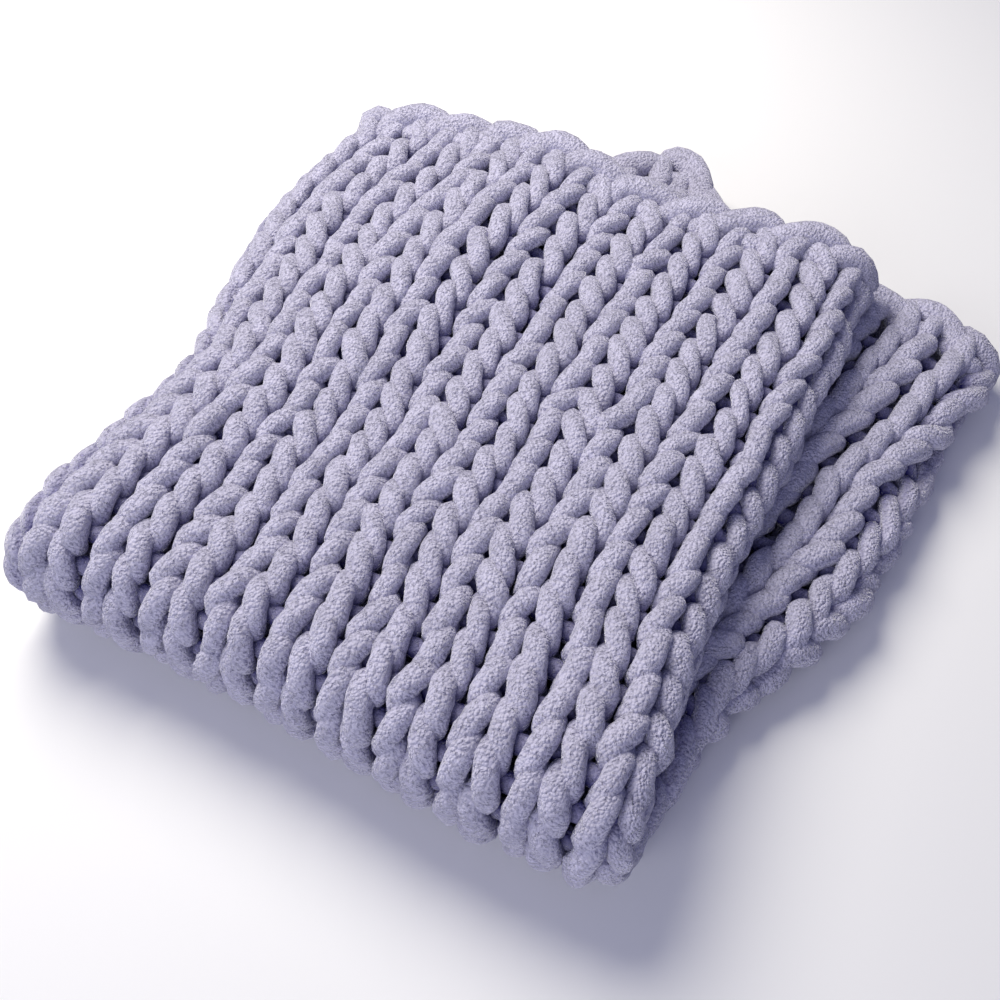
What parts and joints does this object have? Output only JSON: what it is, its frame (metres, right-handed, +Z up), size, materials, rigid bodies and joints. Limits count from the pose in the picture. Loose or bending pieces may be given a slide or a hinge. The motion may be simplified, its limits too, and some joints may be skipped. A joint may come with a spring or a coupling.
{
  "type": "chenille blanket",
  "caption": "Chunky hand-knitted chenille throw blanket, folded in quarters and laid flat, knit side out.",
  "frame": {"origin": "the middle of the plain folded rectangle, on the surface the blanket rests on", "axes": "+Z up, the front fold faces -Y, the side fold of the upper half faces +X, the open knitted ends face +Y"},
  "size_m": [0.8541, 0.9429, 0.1603],
  "materials": {
    "chenille_yarn": "short soft chenille pile, matt with a faint sheen, muted lavender"
  },
  "bodies": {
    "root": {"knit_blanket": "chenille_yarn"}
  },
  "joints": []
}
